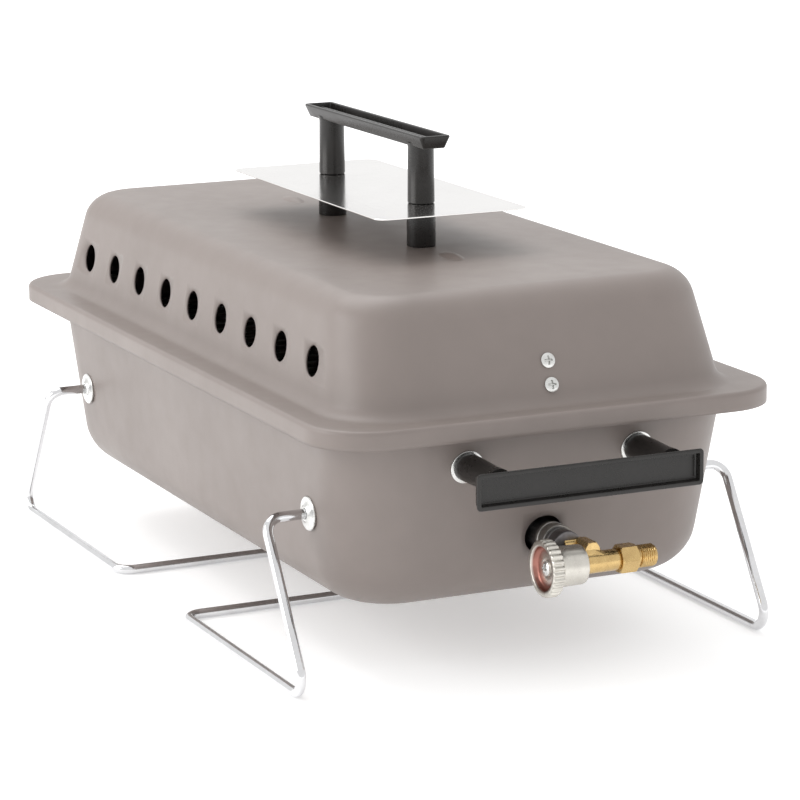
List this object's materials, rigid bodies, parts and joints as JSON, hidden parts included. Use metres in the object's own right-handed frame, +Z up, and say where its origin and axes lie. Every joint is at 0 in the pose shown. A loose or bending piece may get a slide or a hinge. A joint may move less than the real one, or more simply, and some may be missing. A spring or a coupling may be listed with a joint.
{
  "type": "folding camp grill",
  "caption": "Table-top gas camp grill: pressed steel firebox on folding wire legs, lift-off vented lid with handle and heat shield, gas burner with valve and threaded inlet.",
  "frame": {"origin": "centre of the bounding box at the ground, under the middle of the firebox", "axes": "+X along the long side towards the valve, -Y towards the long side of the lid with the vents, +Z up"},
  "size_m": [0.594, 0.306, 0.2914],
  "materials": {
    "lid_paint": "satin",
    "box_paint": "satin",
    "black_plastic": "moulded",
    "chromed_wire": "polished",
    "polished_plate": "polished",
    "zinc_fastener": "zinc plated",
    "burner_steel": "mill",
    "inner_steel": "mill",
    "brass": "machined",
    "zinc_casting": "die cast"
  },
  "bodies": {
    "base": {"firebox": "box_paint", "grid_supports": "inner_steel", "burner_tube": "burner_steel", "air_shutter": "zinc_fastener", "burner_bracket": "inner_steel", "burner_screw": "zinc_fastener", "flame_tamer": "inner_steel", "tamer_feet": "inner_steel", "valve_body": "brass", "jet": "brass", "jet_holder": "burner_steel", "gas_inlet": "brass", "leg_bushes": "zinc_fastener", "side_handle_right": "black_plastic", "side_handle_left": "black_plastic", "side_handle_washers": "zinc_fastener", "side_handle_screws": "zinc_fastener"},
    "lid": {"lid": "lid_paint", "lid_handle_spacers": "black_plastic", "heat_shield": "polished_plate", "lid_handle": "black_plastic", "lid_handle_screws": "zinc_fastener", "lid_handle_washers": "zinc_fastener", "lid_strip_right": "inner_steel", "lid_strip_left": "inner_steel", "lid_strip_screws": "zinc_fastener", "lid_strip_nuts": "inner_steel"},
    "leg_right": {"leg_right": "chromed_wire", "leg_right_push_nuts": "inner_steel"},
    "leg_left": {"leg_left": "chromed_wire", "leg_left_push_nuts": "inner_steel"},
    "knob": {"knob": "zinc_casting", "knob_screw": "zinc_fastener", "valve_spindle": "inner_steel"},
    "grid": {"grid_frame": "chromed_wire", "grid_bars": "chromed_wire", "grid_braces": "chromed_wire"}
  },
  "joints": [
    {"name": "lid_lift", "type": "slide", "parent": "base", "child": "lid", "axis": [0, 0, 1], "range_m": [0, 0.14]},
    {"name": "leg_right_fold", "type": "hinge", "parent": "base", "child": "leg_right", "pos_m": [0.185, 0, 0.094], "axis": [0, 1, 0], "range_deg": [-266, 0]},
    {"name": "leg_left_fold", "type": "hinge", "parent": "base", "child": "leg_left", "pos_m": [-0.185, 0, 0.094], "axis": [0, -1, 0], "range_deg": [-266, 0]},
    {"name": "knob_turn", "type": "hinge", "parent": "base", "child": "knob", "pos_m": [0.28, 0, 0.0725], "axis": [0, 1, 0], "range_deg": [0, 270]},
    {"name": "grid_lift", "type": "slide", "parent": "base", "child": "grid", "axis": [0, 0, 1], "range_m": [0, 0.012]}
  ]
}
